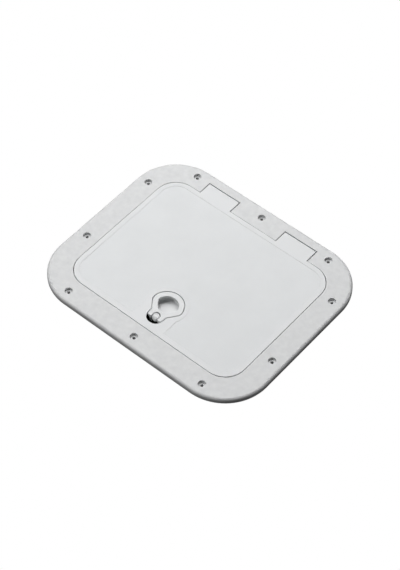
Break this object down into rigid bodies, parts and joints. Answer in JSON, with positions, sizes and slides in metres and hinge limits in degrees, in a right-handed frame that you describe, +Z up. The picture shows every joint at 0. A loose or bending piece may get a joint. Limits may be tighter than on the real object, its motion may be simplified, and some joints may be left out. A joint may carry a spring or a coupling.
{
  "type": "access hatch",
  "caption": "Flush rectangular deck access hatch: a rounded flange frame with a collar, a hinged lid on two pins and a lift handle that draws a spring bolt.",
  "frame": {"origin": "centre of the four corner deck screws, on the flange underside that lies on the deck", "axes": "+X along the hatch's long side, +Y from the latch to the hinges, +Z up out of the deck"},
  "size_m": [0.375, 0.313, 0.03],
  "materials": {
    "hatch_plastic": "satin",
    "latch_plastic": "satin",
    "bolt_acetal": "satin",
    "gasket_rubber": "matte",
    "stainless_pin": "ground",
    "stainless_screw": "satin",
    "spring_steel": "drawn"
  },
  "bodies": {
    "frame": {"flange_frame": "hatch_plastic", "hinge_pin_left": "stainless_pin", "hinge_pin_right": "stainless_pin"},
    "lid": {"hatch_lid": "hatch_plastic", "lid_gasket": "gasket_rubber", "latch_housing": "latch_plastic", "handle_pin": "stainless_pin", "bolt_cover": "latch_plastic", "bolt_spring": "spring_steel", "housing_screw_1": "stainless_screw", "housing_screw_2": "stainless_screw", "housing_screw_3": "stainless_screw", "housing_screw_4": "stainless_screw", "cover_screw_1": "stainless_screw", "cover_screw_2": "stainless_screw", "cover_screw_3": "stainless_screw", "cover_screw_4": "stainless_screw"},
    "handle": {"latch_handle": "latch_plastic"},
    "bolt": {"latch_bolt": "bolt_acetal"}
  },
  "joints": [
    {"name": "lid_hinge", "type": "hinge", "parent": "frame", "child": "lid", "pos_m": [0, 0.1371, 0.005], "axis": [-1, 0, 0], "range_deg": [0, 110]},
    {"name": "handle_lift", "type": "hinge", "parent": "lid", "child": "handle", "pos_m": [0, -0.09305, 0.0027], "axis": [1, 0, 0], "range_deg": [0, 25.2]},
    {"name": "bolt_slide", "type": "slide", "parent": "lid", "child": "bolt", "axis": [0, 1, 0], "range_m": [0, 0.00657], "stiffness_N_per_m": 300, "springref_m": -0.006, "deforming": ["bolt_spring"]}
  ],
  "couplings": [
    {"joint": "handle_lift", "follows": "bolt_slide", "rad_per_m": 66.649}
  ]
}
